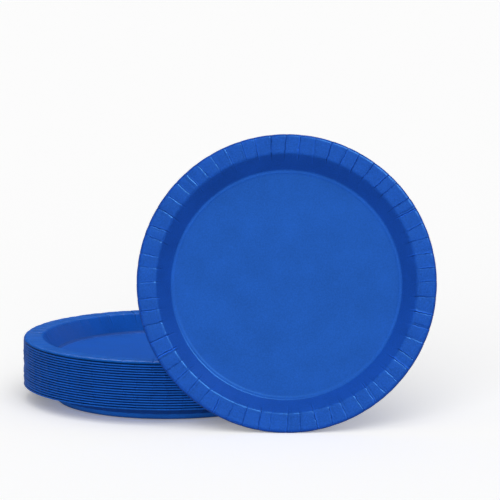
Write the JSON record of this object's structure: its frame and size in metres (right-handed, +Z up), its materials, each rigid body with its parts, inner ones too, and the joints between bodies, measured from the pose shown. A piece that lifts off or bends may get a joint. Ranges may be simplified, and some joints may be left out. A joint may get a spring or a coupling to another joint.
{
  "type": "stack of paper plates",
  "caption": "Pack of round pressed paper plates with pleated, rolled rims, nested in a stack, with one plate leaning on its front.",
  "frame": {"origin": "centre of the lowest plate's underside, on the surface that the stack stands on", "axes": "+Z up along the stacked plates' common axis; +X to the side towards which the leaning plate is set; the leaning plate shows its food side towards -Y"},
  "size_m": [0.3209, 0.2533, 0.2207],
  "materials": {
    "coated_paper": "satin coated paper board, royal blue on both sides"
  },
  "bodies": {
    "root": {"plate_01": "coated_paper", "plate_02": "coated_paper", "plate_03": "coated_paper", "plate_04": "coated_paper", "plate_05": "coated_paper", "plate_06": "coated_paper", "plate_07": "coated_paper", "plate_08": "coated_paper", "plate_09": "coated_paper", "plate_10": "coated_paper", "plate_11": "coated_paper", "plate_12": "coated_paper", "plate_13": "coated_paper", "plate_14": "coated_paper", "plate_15": "coated_paper", "plate_16": "coated_paper", "plate_17": "coated_paper", "plate_18": "coated_paper", "plate_19": "coated_paper", "leaning_plate": "coated_paper"}
  },
  "joints": []
}
